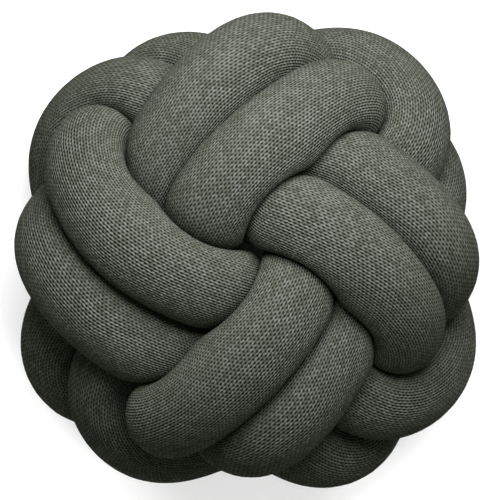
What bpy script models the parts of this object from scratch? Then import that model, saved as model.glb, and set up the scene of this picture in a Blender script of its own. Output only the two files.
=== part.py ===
"""Knot cushion: one long stuffed tube of knit, tied into a flattened ball.

The tube follows a round knot of three turns and four bights, a Turk's head, and then follows its own
track a second time beside the first. Seen from above, four double arcs A, B, C and D lie round a small
hole. Each arc rides over the arc behind it and dives under the arc ahead of it, and the underside is
tied the same way. The two ends of the tube are tucked in side by side under a crossing.

Units are metres, +Z up. The cushion rests on its back on z = 0 with its centre over the origin.
"""

import math

import bpy
import numpy as np

# ---- driving sizes ----------------------------------------------------------------------------
MM = 0.001
TUBE_RADIUS = 29.0 * MM      # of the stuffed tube where nothing presses on it
KNOT_TURN = -7.0             # the whole knot is turned by this about +Z, degrees
BIGHT_STEP = 270.0           # from one bight to the next along the tube, degrees round the ball
BED_LEVEL = -73.0 * MM       # height of the surface it lies on, below the middle of the knot
STRAND_GAP = 1.2 * MM        # left between two runs of the tube that press on each other
SWELL = 0.45                 # share of the pressed-in width that bulges out where the tube is free
CORNER = 9.0                 # a higher value makes the edge of a pressed flat tighter
BEND_LIMIT = 0.80            # share of a bend's radius that the inside of the tube may fill
NEAR_RUN = 68.0 * MM         # stretches of tube closer than this along it do not press on each other

# ---- how finely the tube is divided -----------------------------------------------------------
RINGS = 250
SIDES = 14
ROUTE_POINTS = 900

# ---- the knot, one row for each eighth of the way from bight to bight -------------------------
# turn: degrees ahead of an even pace round the ball; reach: from the axis; height: above the middle
STATIONS = {
    "inner": (
        # passage                   turn  reach  height
        ("front bight",                0,   35,   60),
        ("dives by the centre",       40,   55,   20),
        ("comes out under",           20,  120,    0),
        ("over, at the back",         10,  135,  -40),
        ("back bight",                 5,  100,  -50),
        ("dives at the back",         10,   90,  -25),
        ("climbs round the edge",      0,  115,   20),
        ("over, at the front",       -15,   80,   60),
    ),
    "outer": (
        ("front bight",                0,   90,   40),
        ("dives behind the inner",     5,   85,   15),
        ("comes out under",            0,  120,  -25),
        ("over, at the back",        -10,  110,  -50),
        ("back bight",                 0,   45,  -45),
        ("dives at the back",         20,   60,  -30),
        ("climbs round the edge",     15,  115,  -15),
        ("over, at the front",         0,  120,   30),
    ),
}

# ---- hand tying: how far each arc was pulled sideways, in mm along +X and +Y ------------------
# edge: where it climbs round the edge; over: where it rides over its neighbour; bight: its middle;
# under: where it comes out under the next arc; back: the back bight
ARCS = ("C", "B", "A", "D")             # in the order in which the tube makes them
FIRST_ARC = 45.0                        # direction of arc C from the axis, degrees
PLACES = {"edge": (-90, 90), "over": (-45, 45), "bight": (0, 90), "under": (90, 90), "back": (180, 90)}
PULLED = {
    "inner": {
        #      edge       over       bight      under      back
        "C": ((-6, 9),   (0, 0),    (0, 1),    (5, -4),   (4, -3)),
        "B": ((-1, 0),   (0, 0),    (5, -1),   (2, 0),    (0, 0)),
        "A": ((5, 5),    (-5, -5),  (4, 2),    (9, 8),    (0, 0)),
        "D": ((2, -10),  (4, -1),   (-1, -2),  (14, -9),  (4, -2)),
    },
    "outer": {
        "C": ((-9, 2),   (0, 0),    (-4, -7),  (0, -4),   (0, 0)),
        "B": ((12, 16),  (0, 0),    (-8, 3),   (-4, 0),   (0, 0)),
        "A": ((9, -3),   (0, 0),    (3, 3),    (14, -8),  (0, 0)),
        "D": ((3, -2),   (0, 0),    (10, -4),  (-1, -21), (-4, -13)),
    },
}
KNOT_MIDDLE = (1.0 * MM, -0.5 * MM)     # middle of the pulled knot, which is brought over the origin

# ---- where the tube changes from its first track to its second, and where its ends lie --------
CHANGE_AT = 5.3              # stations after the bight of arc C: under the crossing at the back
CHANGE_HALF = 0.95           # the tube moves across over this many stations each side
END_BACK = 0.62              # each end stops this many stations short of the middle of the change
DOME = 20.0 * MM             # length of the rounded end


def pull(track, arc, place):
    """Sideways pull at a place of an arc, as a complex number in metres."""
    column = tuple(PLACES).index(place)
    x, y = PULLED[track][arc][column]
    return complex(x, y) * MM


def gates(track):
    """The points that one track of the knot passes through, all four arcs in turn."""
    rows = STATIONS[track]
    points = []
    for number, arc in enumerate(ARCS):
        following = ARCS[(number + 1) % len(ARCS)]
        for step, (_, turn, reach, height) in enumerate(rows):
            along = 360.0 * step / len(rows)
            bearing = KNOT_TURN + FIRST_ARC + BIGHT_STEP * (number + along / 360.0) + turn
            flat = reach * MM * np.exp(1j * math.radians(bearing))
            for owner, distance in ((arc, along), (following, along - 360.0)):
                for place, (centre, spread) in PLACES.items():
                    away = abs(distance - centre) / spread
                    if away < 1.0:
                        flat += math.cos(math.pi / 2 * away) ** 2 * pull(track, owner, place)
            flat -= complex(*KNOT_MIDDLE)
            points.append((flat.real, flat.imag, height * MM))
    return np.array(points)


class ClosedCurve:
    """A smooth closed curve through points: a periodic cubic spline, one unit from point to point."""

    def __init__(self, points):
        count = len(points)
        rows = np.arange(count)
        system = np.zeros((count, count))
        system[rows, rows] = 4.0
        system[rows, (rows + 1) % count] = 1.0
        system[rows, (rows - 1) % count] = 1.0
        chord = np.roll(points, -1, axis=0) - np.roll(points, 1, axis=0)
        self.points = points
        self.slopes = np.linalg.solve(system, 3.0 * chord)

    def at(self, where):
        """Points on the curve at an array of positions along it."""
        where = np.asarray(where) % len(self.points)
        first = np.floor(where).astype(int) % len(self.points)
        second = (first + 1) % len(self.points)
        t = (where - np.floor(where))[:, None]
        return (
            (1 + 2 * t) * (1 - t) ** 2 * self.points[first]
            + t * (1 - t) ** 2 * self.slopes[first]
            + t * t * (3 - 2 * t) * self.points[second]
            + t * t * (t - 1) * self.slopes[second]
        )


def smooth_step(x):
    x = np.clip(x, 0.0, 1.0)
    return x * x * (3 - 2 * x)


def tube_route(count):
    """Centre line of the whole tube, end to end, as evenly spaced points."""
    inner = ClosedCurve(gates("inner"))
    outer = ClosedCurve(gates("outer"))
    lap = len(inner.points)
    travel = np.linspace(END_BACK, 2 * lap - END_BACK, 6 * count)
    moved = smooth_step((travel - lap + CHANGE_HALF) / (2 * CHANGE_HALF))[:, None]
    line = (1 - moved) * inner.at(travel + CHANGE_AT) + moved * outer.at(travel + CHANGE_AT)
    run = np.concatenate([[0.0], np.cumsum(np.linalg.norm(np.diff(line, axis=0), axis=1))])
    even = np.linspace(0.0, run[-1], count)
    return np.stack([np.interp(even, run, line[:, axis]) for axis in range(3)], axis=1), run[-1]


def directions(line):
    """Unit tangents and the bend vector (direction of the bend over its radius) of a line."""
    tangent = np.gradient(line, axis=0)
    step = np.linalg.norm(tangent, axis=1)[:, None]
    tangent = tangent / step
    return tangent, np.gradient(tangent, axis=0) / step


def carried_frames(tangent):
    """A pair of crosswise directions at each point, carried along the line without twisting."""
    across = np.cross(tangent[0], (0.0, 0.0, 1.0))
    first = []
    for direction in tangent:
        across = across - direction * np.dot(across, direction)
        across = across / np.linalg.norm(across)
        first.append(across)
    first = np.array(first)
    return first, np.cross(tangent, first)


def pressed_reach(centre, spoke, own, line, run, bend):
    """How far the tube reaches from its centre along each spoke before another run stops it.

    Two runs that press on each other share the space between them evenly, so the flat between them
    lies halfway. The inside of a bend stops short of the bend's own centre.
    """
    toward = line - centre
    away = np.sum(toward * toward, axis=1)
    others = (np.abs(run - own) > NEAR_RUN) & (away < (4 * TUBE_RADIUS) ** 2)
    reach = np.full(len(spoke), np.inf)
    if others.any():
        facing = np.maximum(spoke @ toward[others].T, 1e-9)
        reach = np.min(away[others] / (2 * facing), axis=1) - STRAND_GAP / 2
    inward = np.maximum(spoke @ bend, 1e-9)
    return np.minimum(reach, BEND_LIMIT / inward)


def blur(table, passes):
    """Evens a table of reaches out, along the tube and round it."""
    for _ in range(passes):
        table = (np.roll(table, 1, axis=1) + 2 * table + np.roll(table, -1, axis=1)) / 4
        inside = (table[:-2] + 2 * table[1:-1] + table[2:]) / 4
        table = np.vstack([table[:1], inside, table[-1:]])
    return table


def tube_rings(rings, sides):
    """Points of the tube's skin, ring by ring from end to end."""
    line, length = tube_route(ROUTE_POINTS)
    run = np.linspace(0.0, length, ROUTE_POINTS)
    tangent, bend = directions(line)
    first, second = carried_frames(tangent)
    place = np.linspace(0.0, length, rings)

    def sample(values):
        return np.stack([np.interp(place, run, values[:, axis]) for axis in range(3)], axis=1)

    centres, bends, across, upward = sample(line), sample(bend), sample(first), sample(second)
    angle = 2 * math.pi * np.arange(sides) / sides
    spokes = np.cos(angle)[None, :, None] * across[:, None] + np.sin(angle)[None, :, None] * upward[:, None]
    stop = np.array([
        pressed_reach(centres[i], spokes[i], place[i], line, run, bends[i]) for i in range(rings)
    ])
    stop = np.maximum(stop, 0.25 * TUBE_RADIUS)
    squeezed = np.mean(np.clip(1 - stop / TUBE_RADIUS, 0.0, 1.0), axis=1)
    free = TUBE_RADIUS * (1 + SWELL * np.convolve(np.pad(squeezed, 3, "edge"), np.ones(7) / 7, "valid"))
    reach = (stop ** -CORNER + free[:, None] ** -CORNER) ** (-1 / CORNER)
    reach = np.minimum(blur(reach, 1), stop)
    from_end = np.minimum(place, length - place)
    dome = np.sqrt(np.clip(1 - (1 - np.clip(from_end / DOME, 0.0, 1.0)) ** 2, 0.0, 1.0))
    skin = centres[:, None] + spokes * (reach * dome[:, None])[:, :, None]
    skin[:, :, 2] = np.maximum(skin[:, :, 2], BED_LEVEL) - BED_LEVEL
    return skin


def knotted_tube(material):
    """The cushion as one closed solid, lofted through its pressed sections."""
    skin = tube_rings(RINGS, SIDES)
    rings = skin[1:-1]
    count = len(rings)
    verts = [tuple(point) for ring in rings for point in ring]
    ends = (len(verts), len(verts) + 1)
    verts += [tuple(skin[0].mean(axis=0)), tuple(skin[-1].mean(axis=0))]
    faces = []
    for ring in range(count - 1):
        for side in range(SIDES):
            a = ring * SIDES + side
            b = ring * SIDES + (side + 1) % SIDES
            faces.append((a, b, b + SIDES, a + SIDES))
    for side in range(SIDES):
        beside = (side + 1) % SIDES
        faces.append((ends[0], beside, side))
        faces.append((ends[1], (count - 1) * SIDES + side, (count - 1) * SIDES + beside))
    mesh = bpy.data.meshes.new("knotted_tube")
    mesh.from_pydata(verts, [], faces)
    mesh.validate()
    mesh.shade_smooth()
    mesh.materials.append(material)
    return bpy.data.objects.new("knotted_tube", mesh)


def knit_material():
    material = bpy.data.materials.new("grey_green_knit")
    material.use_nodes = True
    shader = material.node_tree.nodes["Principled BSDF"]
    shader.inputs["Base Color"].default_value = (0.105, 0.115, 0.095, 1.0)
    shader.inputs["Roughness"].default_value = 0.92
    shader.inputs["Metallic"].default_value = 0.0
    return material


def main():
    for thing in list(bpy.data.objects):
        bpy.data.objects.remove(thing, do_unlink=True)
    cushion = bpy.data.collections.new("knot_cushion")
    bpy.context.scene.collection.children.link(cushion)
    cushion.objects.link(knotted_tube(knit_material()))


main()
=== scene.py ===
"""Knot cushion: one long stuffed tube of knit, tied into a flattened ball and lying on its back.

The tube follows a round knot of three turns and four bights, and then its own track a second time.
Its skin is lofted through sections that are pressed flat where two runs of the tube meet, and the knit
on it is plain stockinette: columns of small V stitches that run along the tube.

Units are metres, +Z up. The photograph looks straight down on the cushion's face.
"""

import math

import bpy
import numpy as np
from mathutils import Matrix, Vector


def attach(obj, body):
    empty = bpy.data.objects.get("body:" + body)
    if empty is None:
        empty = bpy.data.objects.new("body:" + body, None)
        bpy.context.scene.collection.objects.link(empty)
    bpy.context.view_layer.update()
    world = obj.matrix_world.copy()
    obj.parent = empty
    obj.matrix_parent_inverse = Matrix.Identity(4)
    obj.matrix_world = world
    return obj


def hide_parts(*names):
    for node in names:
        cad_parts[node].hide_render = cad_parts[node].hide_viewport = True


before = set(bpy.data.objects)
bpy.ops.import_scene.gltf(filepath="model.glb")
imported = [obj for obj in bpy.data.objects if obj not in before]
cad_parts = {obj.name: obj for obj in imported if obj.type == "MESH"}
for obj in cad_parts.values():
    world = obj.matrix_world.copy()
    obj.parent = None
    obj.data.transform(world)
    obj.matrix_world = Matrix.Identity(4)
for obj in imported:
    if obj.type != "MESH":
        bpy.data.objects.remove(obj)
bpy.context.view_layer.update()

# ---- the tube ---------------------------------------------------------------------------------
MM = 0.001
TUBE_RADIUS = 29.0 * MM      # where nothing presses on it
KNOT_TURN = -7.0             # the whole knot is turned by this about +Z, degrees
BIGHT_STEP = 270.0           # from one bight to the next along the tube, degrees round the ball
BED_LEVEL = -73.0 * MM       # height of the surface it lies on, below the middle of the knot
STRAND_GAP = 0.5 * MM        # left between two runs that press on each other
SWELL = 0.45                 # share of the pressed-in width that bulges out where the tube is free
CORNER = 9.0                 # a higher value makes the edge of a pressed flat tighter
BEND_LIMIT = 0.80            # share of a bend's radius that the inside of the tube may fill
NEAR_RUN = 68.0 * MM         # stretches of tube closer than this along it do not press on each other
PRESS_RANGE = 4.0            # tube radii from the centre line within which another run can press
LEAST_REACH = 0.25           # share of its radius that the tube keeps however hard it is pressed
SWELL_SPAN = 0.028           # share of the tube's length over which its swelling is evened out
EVENING = 3                  # rounds of evening out the skin
ROUTE_POINTS = 900
TRACED_POINTS = 6 * ROUTE_POINTS
RINGS = 1400
SIDES = 64
TINY = 1e-9                  # keeps a division from dividing by nothing

# ---- the knot, one row for each eighth of the way from bight to bight -------------------------
# turn: degrees ahead of an even pace round the ball; reach: from the axis; height: above the middle
STATIONS = {
    "inner": (
        # passage                   turn  reach  height
        ("front bight",                0,   35,   60),
        ("dives by the centre",       40,   55,   20),
        ("comes out under",           20,  120,    0),
        ("over, at the back",         10,  135,  -40),
        ("back bight",                 5,  100,  -50),
        ("dives at the back",         10,   90,  -25),
        ("climbs round the edge",      0,  115,   20),
        ("over, at the front",       -15,   80,   60),
    ),
    "outer": (
        ("front bight",                0,   90,   40),
        ("dives behind the inner",     5,   85,   15),
        ("comes out under",            0,  120,  -25),
        ("over, at the back",        -10,  110,  -50),
        ("back bight",                 0,   45,  -45),
        ("dives at the back",         20,   60,  -30),
        ("climbs round the edge",     15,  115,  -15),
        ("over, at the front",         0,  120,   30),
    ),
}

# ---- hand tying: how far each arc was pulled sideways, in mm along +X and +Y ------------------
ARCS = ("C", "B", "A", "D")             # in the order in which the tube makes them
FIRST_ARC = 45.0                        # direction of arc C from the axis, degrees
# where along an arc a pull is strongest and how far from there it fades out: 0 at the bight, 360 an arc on
PLACES = {"edge": (-90, 90), "over": (-45, 45), "bight": (0, 90), "under": (90, 90), "back": (180, 90)}
PULLED = {
    "inner": {
        #      edge       over       bight      under      back
        "C": ((-6, 9),   (0, 0),    (0, 1),    (5, -4),   (4, -3)),
        "B": ((-1, 0),   (0, 0),    (5, -1),   (2, 0),    (0, 0)),
        "A": ((5, 5),    (-5, -5),  (4, 2),    (9, 8),    (0, 0)),
        "D": ((2, -10),  (4, -1),   (-1, -2),  (14, -9),  (4, -2)),
    },
    "outer": {
        "C": ((-9, 2),   (0, 0),    (-4, -7),  (0, -4),   (0, 0)),
        "B": ((12, 16),  (0, 0),    (-8, 3),   (-4, 0),   (0, 0)),
        "A": ((9, -3),   (0, 0),    (3, 3),    (14, -8),  (0, 0)),
        "D": ((3, -2),   (0, 0),    (10, -4),  (-1, -21), (-4, -13)),
    },
}
KNOT_MIDDLE = (1.0 * MM, -0.5 * MM)     # middle of the pulled knot, which is brought over the origin

# ---- where the tube changes from the inner track to the outer one, and its two ends -----------
CHANGE_AT = 5.3              # stations after the bight of arc C: under the crossing at the back
CHANGE_HALF = 0.95           # the tube moves across over this many stations each side
END_BACK = 0.62              # each end stops this many stations short of the middle of the change
DOME = 20.0 * MM             # length of the rounded end

# ---- the knit ---------------------------------------------------------------------------------
WALES = 44                   # columns of stitches round the tube
COURSE = 2.45 * MM           # height of one stitch along the tube
LEG_LEAN = 0.55              # how far a stitch's leg climbs across its half of the column, in courses
LEG_SIDE = (0.0, 0.9)        # a leg falls off sideways between these shares of its half width
LEG_ROUND = 0.5              # how much lower a leg's side is than its middle
HOLE_DEPTH = 0.5             # how much lower a hole is than the yarn round it
LEG_END = (0.05, 0.45)       # a hole opens between these distances from a leg's middle, in courses
VALLEY_DEPTH_AND_SHADE = 0.12           # the line between two legs gets this share of a hole's depth and painted shade, a hole's being 1
WOBBLE = 0.6                 # stitches that the knit wanders by
WOBBLE_SCALE = 30.0          # per metre
WOBBLE_DETAIL = 4.0
KNIT_RELIEF = 1.4 * MM       # from the holes between stitches to the top of the yarn
LEAN_REACH = 2.0             # stations each way over which the knit leans, from where the arc rides over
LEAN = {                     # by how much the columns of stitches lean off the tube there, degrees
    "inner": {"C": 12.0, "B": 0.0, "A": 0.0, "D": 0.0},
    "outer": {"C": 0.0, "B": 0.0, "A": 0.0, "D": -10.0},
}

# ---- the yarn ---------------------------------------------------------------------------------
YARN_LIGHT = (0.29, 0.302, 0.262, 1.0)
YARN_DARK = (0.137, 0.149, 0.108, 1.0)
YARN_WORN = (0.152, 0.162, 0.132, 1.0)
# near black painted into the holes and the lines between legs: painted shade of these recesses between the
# yarns
PAINTED_HOLE_SHADE = (0.0035, 0.0045, 0.0025, 1.0)
FUZZ = (0.85, 1.0, 0.6, 1.0)
LEG_SHARE = 0.9              # how much of the way from dark to light yarn one leg differs from another
HEATHER_SHARE = 0.3          # how much of that way larger flecks make
DARKER = -0.1                # and how far the yarn as a whole is moved on that way
HEATHER_SCALE = 90.0         # per metre
HEATHER_DETAIL = 3.0
WEAR_SCALE = 14.0            # per metre
WEAR_DETAIL = 2.0
WEAR_FROM = (0.35, 0.7)      # the range of the wear noise over which the yarn turns worn
WEAR_MOST = 0.1

# ---- camera, lights and floor -----------------------------------------------------------------
PICTURE = 500.0                          # pixels each way
PIXEL = 0.645 * MM                       # at the knot's middle height
MIDDLE_PIXEL = (248.0, 252.3)            # where the cushion's axis is in the picture
CAMERA_ABOVE = 2.11                      # over the knot's middle height
SENSOR = 36.0                            # mm
CAMERA_FAR = 50.0
FLOOR_SIZE = 6.0
FLOOR_PAINT = (0.92, 0.92, 0.92, 1.0)
KEY_PLACE = (0.08, 0.36, 0.63)
KEY_AIM = (0.0, 0.0, 0.06)
KEY_SIZE = 0.6
KEY_WATTS = 5.85
KEY_COLOUR = (1.0, 0.99, 1.03)
ROOM_LIGHT = 0.09
ROOM_COLOUR = (0.93, 1.0, 0.86, 1.0)
FLOOR_LIGHTS = 4
FLOOR_LIGHT = 1.8                        # watts per square metre from each side
FLOOR_LIGHT_TILT = 50.0                  # from the vertical, degrees
FLOOR_LIGHT_TURN = 45.0                  # direction of the first one, degrees
FLOOR_LIGHT_SPREAD = 40.0                # degrees


def pull(track, arc, place):
    """Sideways pull at a place of an arc, as a complex number in metres."""
    column = tuple(PLACES).index(place)
    x, y = PULLED[track][arc][column]
    return complex(x, y) * MM


def gates(track):
    """The points that one track of the knot passes through, all four arcs in turn."""
    rows = STATIONS[track]
    points = []
    for number, arc in enumerate(ARCS):
        following = ARCS[(number + 1) % len(ARCS)]
        for step, (_, turn, reach, height) in enumerate(rows):
            along = 360.0 * step / len(rows)
            bearing = KNOT_TURN + FIRST_ARC + BIGHT_STEP * (number + along / 360.0) + turn
            flat = reach * MM * np.exp(1j * math.radians(bearing))
            for owner, distance in ((arc, along), (following, along - 360.0)):
                for place, (centre, spread) in PLACES.items():
                    away = abs(distance - centre) / spread
                    if away < 1.0:
                        flat += math.cos(math.pi / 2 * away) ** 2 * pull(track, owner, place)
            flat -= complex(*KNOT_MIDDLE)
            points.append((flat.real, flat.imag, height * MM))
    return np.array(points)


class ClosedCurve:
    """A smooth closed curve through points: a periodic cubic spline, one unit from point to point."""

    def __init__(self, points):
        count = len(points)
        rows = np.arange(count)
        system = np.zeros((count, count))
        system[rows, rows] = 4.0
        system[rows, (rows + 1) % count] = 1.0
        system[rows, (rows - 1) % count] = 1.0
        chord = np.roll(points, -1, axis=0) - np.roll(points, 1, axis=0)
        self.points = points
        self.slopes = np.linalg.solve(system, 3.0 * chord)

    def at(self, where):
        """Points on the curve at an array of positions along it."""
        where = np.asarray(where) % len(self.points)
        first = np.floor(where).astype(int) % len(self.points)
        second = (first + 1) % len(self.points)
        t = (where - np.floor(where))[:, None]
        return (
            (1 + 2 * t) * (1 - t) ** 2 * self.points[first]
            + t * (1 - t) ** 2 * self.slopes[first]
            + t * t * (3 - 2 * t) * self.points[second]
            + t * t * (t - 1) * self.slopes[second]
        )


def smooth_step(x):
    """Eases from 0 to 1."""
    x = np.clip(x, 0.0, 1.0)
    return x * x * (3 - 2 * x)


def tube_route():
    """Centre line of the whole tube, end to end, as evenly spaced points, its length and its stations."""
    inner = ClosedCurve(gates("inner"))
    outer = ClosedCurve(gates("outer"))
    lap = len(inner.points)
    travel = np.linspace(END_BACK, 2 * lap - END_BACK, TRACED_POINTS)
    moved = smooth_step((travel - lap + CHANGE_HALF) / (2 * CHANGE_HALF))[:, None]
    line = (1 - moved) * inner.at(travel + CHANGE_AT) + moved * outer.at(travel + CHANGE_AT)
    run = np.concatenate([[0.0], np.cumsum(np.linalg.norm(np.diff(line, axis=0), axis=1))])
    even = np.linspace(0.0, run[-1], ROUTE_POINTS)
    evenly = np.stack([np.interp(even, run, line[:, axis]) for axis in range(3)], axis=1)
    return evenly, run[-1], np.interp(even, run, travel + CHANGE_AT)


def directions(line):
    """Unit tangents and the bend vector (direction of the bend over its radius) of a line."""
    tangent = np.gradient(line, axis=0)
    step = np.linalg.norm(tangent, axis=1)[:, None]
    tangent = tangent / step
    return tangent, np.gradient(tangent, axis=0) / step


def carried_frames(tangent):
    """A pair of crosswise directions at each point, carried along the line without twisting."""
    across = np.cross(tangent[0], (0.0, 0.0, 1.0))
    first = []
    for direction in tangent:
        across = across - direction * np.dot(across, direction)
        across = across / np.linalg.norm(across)
        first.append(across)
    first = np.array(first)
    return first, np.cross(tangent, first)


def pressed_reach(centre, spoke, own, line, run, bend):
    """How far the tube reaches from its centre along each spoke before another run stops it.

    Two runs that press on each other share the space between them evenly, so the flat between them
    lies halfway. The inside of a bend stops short of the bend's own centre.
    """
    toward = line - centre
    away = np.sum(toward * toward, axis=1)
    others = (np.abs(run - own) > NEAR_RUN) & (away < (PRESS_RANGE * TUBE_RADIUS) ** 2)
    reach = np.full(len(spoke), np.inf)
    if others.any():
        facing = np.maximum(spoke @ toward[others].T, TINY)
        reach = np.min(away[others] / (2 * facing), axis=1) - STRAND_GAP / 2
    inward = np.maximum(spoke @ bend, TINY)
    return np.minimum(reach, BEND_LIMIT / inward)


def blur(table, passes):
    """Evens a table of reaches out, along the tube and round it."""
    for _ in range(passes):
        table = (np.roll(table, 1, axis=1) + 2 * table + np.roll(table, -1, axis=1)) / 4
        inside = (table[:-2] + 2 * table[1:-1] + table[2:]) / 4
        table = np.vstack([table[:1], inside, table[-1:]])
    return table


def swollen_radius(stop):
    """Radius of the tube where it is free, ring by ring: wider where it is pressed in elsewhere."""
    squeezed = np.mean(np.clip(1 - stop / TUBE_RADIUS, 0.0, 1.0), axis=1)
    window = max(3, round(SWELL_SPAN * len(stop))) | 1
    padded = np.pad(squeezed, window // 2, "edge")
    evened = np.convolve(padded, np.ones(window) / window, "valid")
    return TUBE_RADIUS * (1 + SWELL * evened)


def tube_rings():
    """Points of the tube's skin, ring by ring from end to end, and each ring's place and station."""
    line, length, stations = tube_route()
    run = np.linspace(0.0, length, ROUTE_POINTS)
    tangent, bend = directions(line)
    first, second = carried_frames(tangent)
    place = np.linspace(0.0, length, RINGS)

    def sample(values):
        return np.stack([np.interp(place, run, values[:, axis]) for axis in range(3)], axis=1)

    centres, bends, across, upward = sample(line), sample(bend), sample(first), sample(second)
    angle = 2 * math.pi * np.arange(SIDES) / SIDES
    spokes = np.cos(angle)[None, :, None] * across[:, None] + np.sin(angle)[None, :, None] * upward[:, None]
    stop = np.array([
        pressed_reach(centres[i], spokes[i], place[i], line, run, bends[i]) for i in range(RINGS)
    ])
    stop = np.maximum(stop, LEAST_REACH * TUBE_RADIUS)
    free = swollen_radius(stop)
    reach = (stop ** -CORNER + free[:, None] ** -CORNER) ** (-1 / CORNER)
    reach = np.minimum(blur(reach, EVENING), stop)
    from_end = np.minimum(place, length - place)
    dome = np.sqrt(np.clip(1 - (1 - np.clip(from_end / DOME, 0.0, 1.0)) ** 2, 0.0, 1.0))
    skin = centres[:, None] + spokes * (reach * dome[:, None])[:, :, None]
    skin[:, :, 2] = np.maximum(skin[:, :, 2], BED_LEVEL) - BED_LEVEL
    return skin, place, np.interp(place, run, stations)


def knit_lean(stations):
    """How far the columns lean off the tube at each station, in radians."""
    per_arc = len(STATIONS["inner"])
    lap = len(ARCS) * per_arc
    lean = np.zeros(len(stations))
    for laps_done, track in enumerate(("inner", "outer")):
        for number, arc in enumerate(ARCS):
            rides_over = per_arc * number - 1
            if rides_over < CHANGE_AT:
                rides_over += lap
            away = np.abs(stations - rides_over - laps_done * lap) / LEAN_REACH
            weight = np.where(away < 1.0, np.cos(math.pi / 2 * away) ** 2, 0.0)
            lean += math.radians(LEAN[track][arc]) * weight
    return lean


def knit_coordinates(rings, place, stations):
    """Stitch coordinates of each ring: courses along the tube, and columns of stitches round it."""
    closed = np.concatenate([rings, rings[:, :1]], axis=1)
    steps = np.linalg.norm(np.diff(closed, axis=1), axis=2)
    around = np.concatenate([np.zeros((len(rings), 1)), np.cumsum(steps, axis=1)], axis=1)
    around = around / np.maximum(around[:, -1:], TINY) * WALES
    drift = np.tan(knit_lean(stations)) * np.gradient(place) * WALES / (2 * math.pi * TUBE_RADIUS)
    return place / COURSE, around + np.cumsum(drift)[:, None]


def knotted_tube():
    """The whole cushion as one closed skin with a UV map that counts stitches."""
    skin, place, stations = tube_rings()
    rings = skin[1:-1]
    courses, columns = knit_coordinates(rings, place[1:-1], stations[1:-1])
    count = len(rings)
    verts = np.concatenate([rings.reshape(-1, 3), skin[:1].mean(axis=1), skin[-1:].mean(axis=1)])
    start, end = len(verts) - 2, len(verts) - 1
    ring, side = (values.ravel() for values in np.mgrid[0:count - 1, 0:SIDES])
    a = ring * SIDES + side
    b = ring * SIDES + (side + 1) % SIDES
    quads = np.stack([a, b, b + SIDES, a + SIDES], axis=1)
    spots = np.stack([
        np.stack([courses[ring], columns[ring, side]], axis=1),
        np.stack([courses[ring], columns[ring, side + 1]], axis=1),
        np.stack([courses[ring + 1], columns[ring + 1, side + 1]], axis=1),
        np.stack([courses[ring + 1], columns[ring + 1, side]], axis=1),
    ], axis=1)
    faces = [tuple(quad) for quad in quads.tolist()]
    uvs = list(spots.reshape(-1, 2))
    last = (count - 1) * SIDES
    for this in range(SIDES):
        beside = (this + 1) % SIDES
        here, there = (courses[0], columns[0, this]), (courses[0], columns[0, this + 1])
        faces.append((start, beside, this))
        uvs += [here, there, here]
        here, there = (courses[-1], columns[-1, this]), (courses[-1], columns[-1, this + 1])
        faces.append((end, last + this, last + beside))
        uvs += [here, here, there]
    mesh = bpy.data.meshes.new("knit_tube")
    mesh.from_pydata(verts.tolist(), [], faces)
    layer = mesh.uv_layers.new(name="stitches")
    layer.uv.foreach_set("vector", np.array(uvs, np.float32).ravel())
    mesh.shade_smooth()
    piece = bpy.data.objects.new("knit_tube", mesh)
    bpy.context.scene.collection.objects.link(piece)
    return piece


class Nodes:
    """Short names for the shader nodes that a material is built from."""

    def __init__(self, material):
        self.tree = material.node_tree

    def add(self, kind, **settings):
        node = self.tree.nodes.new(kind)
        for name, value in settings.items():
            setattr(node, name, value)
        return node

    def feed(self, node, inputs):
        """Gives sockets, by name or number, a value or a link."""
        for name, value in inputs.items():
            socket = node.inputs[name]
            if isinstance(value, bpy.types.NodeSocket):
                self.tree.links.new(value, socket)
            else:
                socket.default_value = value
        return node

    def math(self, operation, a, b=0.0, c=0.0, clamp=False):
        node = self.add("ShaderNodeMath", operation=operation, use_clamp=clamp)
        self.feed(node, {0: a, 1: b, 2: c})
        return node.outputs[0]

    def ramp(self, value, low, high, to_high=1.0):
        """A smooth step of a value, from 0 at one end of a range to a height at the other."""
        node = self.add("ShaderNodeMapRange", interpolation_type="SMOOTHSTEP")
        self.feed(node, {"Value": value, "From Min": low, "From Max": high, "To Min": 0.0, "To Max": to_high})
        return node.outputs["Result"]

    def noise(self, vector, scale, detail, output=0):
        node = self.add("ShaderNodeTexNoise")
        self.feed(node, {"Vector": vector, "Scale": scale, "Detail": detail})
        return node.outputs[output]

    def mix(self, factor, a, b):
        """One colour blended into another."""
        node = self.add("ShaderNodeMix", data_type="RGBA")
        self.feed(node, {0: factor, 6: a, 7: b})
        return node.outputs[2]


def knit_place(nodes):
    """Where on the knit a point is: its course along the tube and its column of stitches round it."""
    stitches = nodes.add("ShaderNodeUVMap", uv_map="stitches").outputs["UV"]
    place = nodes.add("ShaderNodeTexCoord").outputs["Object"]
    wobble = nodes.noise(place, WOBBLE_SCALE, WOBBLE_DETAIL, output="Color")
    shifted = nodes.add("ShaderNodeVectorMath", operation="MULTIPLY_ADD")
    nodes.feed(shifted, {0: wobble, 1: (WOBBLE, WOBBLE, 0.0), 2: stitches})
    split = nodes.feed(nodes.add("ShaderNodeSeparateXYZ"), {0: shifted.outputs[0]})
    return place, split.outputs[0], split.outputs[1]


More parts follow.
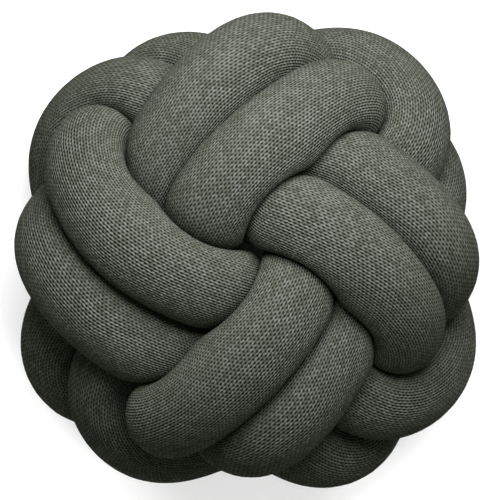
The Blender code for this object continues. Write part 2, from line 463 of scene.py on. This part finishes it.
def yarn_colour(nodes, place, climb, column):
    """The yarn's own colour: each leg a little different, with larger flecks and worn places."""
    cell = nodes.add("ShaderNodeCombineXYZ")
    nodes.feed(cell, {
        0: nodes.math("FLOOR", climb),
        1: nodes.math("FLOOR", nodes.math("MULTIPLY", column, 2.0)),
    })
    leg = nodes.add("ShaderNodeTexWhiteNoise", noise_dimensions="2D")
    nodes.feed(leg, {"Vector": cell.outputs[0]})
    heather = nodes.noise(place, HEATHER_SCALE, HEATHER_DETAIL)
    wear = nodes.noise(place, WEAR_SCALE, WEAR_DETAIL)
    flecks = nodes.math("MULTIPLY_ADD", heather, HEATHER_SHARE, DARKER)
    shade = nodes.math("MULTIPLY_ADD", leg.outputs["Value"], LEG_SHARE, flecks, clamp=True)
    yarn = nodes.mix(shade, YARN_DARK, YARN_LIGHT)
    return nodes.mix(nodes.ramp(wear, *WEAR_FROM, to_high=WEAR_MOST), yarn, YARN_WORN)


def knit_material():
    """Matte stockinette: plump yarn legs in V pairs, holes between them painted near black as painted shade,
    a little heather.
    """
    material = bpy.data.materials.new("grey_green_knit")
    material.use_nodes = True
    nodes = Nodes(material)
    shader = material.node_tree.nodes["Principled BSDF"]
    place, course, column = knit_place(nodes)

    # across a column: 0 on its middle line, 1 on its border, and a leg halfway
    across = nodes.math("FRACT", column)
    side = nodes.math("ABSOLUTE", nodes.math("MULTIPLY_ADD", across, 2.0, -1.0))
    sideways = nodes.math("ABSOLUTE", nodes.math("MULTIPLY_ADD", side, 2.0, -1.0))
    # along the leg: each leg leans outwards as it climbs
    climb = nodes.math("SUBTRACT", course, nodes.math("MULTIPLY", side, LEG_LEAN))
    lengthways = nodes.math("ABSOLUTE", nodes.math("SUBTRACT", nodes.math("FRACT", climb), 0.5))
    # legs touch along their sides, and leave a hole at each corner
    valley = nodes.ramp(sideways, *LEG_SIDE)
    end = nodes.ramp(lengthways, *LEG_END)
    # the holes and the lines between legs sink in the relief, and take painted shade in the colour
    hole_depth_and_painted_shade = nodes.math("MULTIPLY", valley, nodes.math("MULTIPLY_ADD", end, 1.0 - VALLEY_DEPTH_AND_SHADE, VALLEY_DEPTH_AND_SHADE))
    crown = nodes.math("MULTIPLY_ADD", nodes.math("MULTIPLY", sideways, sideways), -LEG_ROUND, 1.0)
    relief = nodes.math("MULTIPLY_ADD", hole_depth_and_painted_shade, -HOLE_DEPTH, crown)

    bump = nodes.add("ShaderNodeBump")
    nodes.feed(bump, {"Strength": 1.0, "Distance": KNIT_RELIEF, "Height": relief})
    # the base colour turns near black in the holes and between legs: painted shade of these recesses
    nodes.feed(shader, {
        "Base Color": nodes.mix(hole_depth_and_painted_shade, yarn_colour(nodes, place, climb, column), PAINTED_HOLE_SHADE),
        "Roughness": 0.92,
        "Specular IOR Level": 0.05,
        "Sheen Weight": 0.08,
        "Sheen Roughness": 0.6,
        "Sheen Tint": FUZZ,
        "Normal": bump.outputs["Normal"],
    })
    return material


def floor():
    """A plain pale floor, seamless and larger than any view."""
    mesh = bpy.data.meshes.new("floor")
    half = FLOOR_SIZE / 2
    corners = [(-half, -half, 0), (half, -half, 0), (half, half, 0), (-half, half, 0)]
    mesh.from_pydata(corners, [], [(0, 1, 2, 3)])
    plane = bpy.data.objects.new("floor", mesh)
    bpy.context.scene.collection.objects.link(plane)
    material = bpy.data.materials.new("pale_floor")
    material.use_nodes = True
    shader = material.node_tree.nodes["Principled BSDF"]
    shader.inputs["Base Color"].default_value = FLOOR_PAINT
    shader.inputs["Roughness"].default_value = 0.9
    shader.inputs["Specular IOR Level"].default_value = 0.1
    mesh.materials.append(material)
    plane.visible_diffuse = False       # it sends no light back to the cushion
    return plane


def camera():
    """Straight above the cushion, far enough to flatten the view as the photograph does."""
    data = bpy.data.cameras.new("camera")
    data.sensor_width = SENSOR
    data.lens = SENSOR * CAMERA_ABOVE / (PICTURE * PIXEL)
    data.shift_x = 0.5 - MIDDLE_PIXEL[0] / PICTURE
    data.shift_y = MIDDLE_PIXEL[1] / PICTURE - 0.5
    data.clip_end = CAMERA_FAR
    eye = bpy.data.objects.new("camera", data)
    eye.location = (0.0, 0.0, CAMERA_ABOVE - BED_LEVEL)
    bpy.context.scene.collection.objects.link(eye)
    bpy.context.scene.camera = eye


def key_light():
    """One soft round light, above the picture's top edge and aimed at the heart of the cushion."""
    data = bpy.data.lights.new("key", "AREA")
    data.shape = "DISK"
    data.size = KEY_SIZE
    data.energy = KEY_WATTS
    data.color = KEY_COLOUR
    lamp = bpy.data.objects.new("key", data)
    lamp.location = KEY_PLACE
    lamp.rotation_euler = (Vector(KEY_AIM) - Vector(KEY_PLACE)).to_track_quat("-Z", "Y").to_euler()
    bpy.context.scene.collection.objects.link(lamp)


def floor_lights(plane):
    """Four soft lights from all round that fall on the floor only, so that it is white all over."""
    lit = bpy.data.collections.new("lit_by_floor_lights")
    lit.objects.link(plane)
    for side in range(FLOOR_LIGHTS):
        bearing = FLOOR_LIGHT_TURN + 360.0 / FLOOR_LIGHTS * side
        data = bpy.data.lights.new(f"floor_light_{side}", "SUN")
        data.energy = FLOOR_LIGHT
        data.angle = math.radians(FLOOR_LIGHT_SPREAD)
        lamp = bpy.data.objects.new(f"floor_light_{side}", data)
        lamp.rotation_euler = (math.radians(FLOOR_LIGHT_TILT), 0.0, math.radians(bearing))
        bpy.context.scene.collection.objects.link(lamp)
        lamp.light_linking.receiver_collection = lit


def studio():
    """A soft key, a pale room and an evenly lit floor."""
    world = bpy.data.worlds.new("studio")
    world.use_nodes = True
    room = world.node_tree.nodes["Background"]
    room.inputs["Color"].default_value = ROOM_COLOUR
    room.inputs["Strength"].default_value = ROOM_LIGHT
    bpy.context.scene.world = world
    key_light()
    floor_lights(floor())
    bpy.context.scene.view_settings.view_transform = "Standard"


camera()
studio()
tube = knotted_tube()
tube.data.materials.append(knit_material())
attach(tube, "root")
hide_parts("knotted_tube")
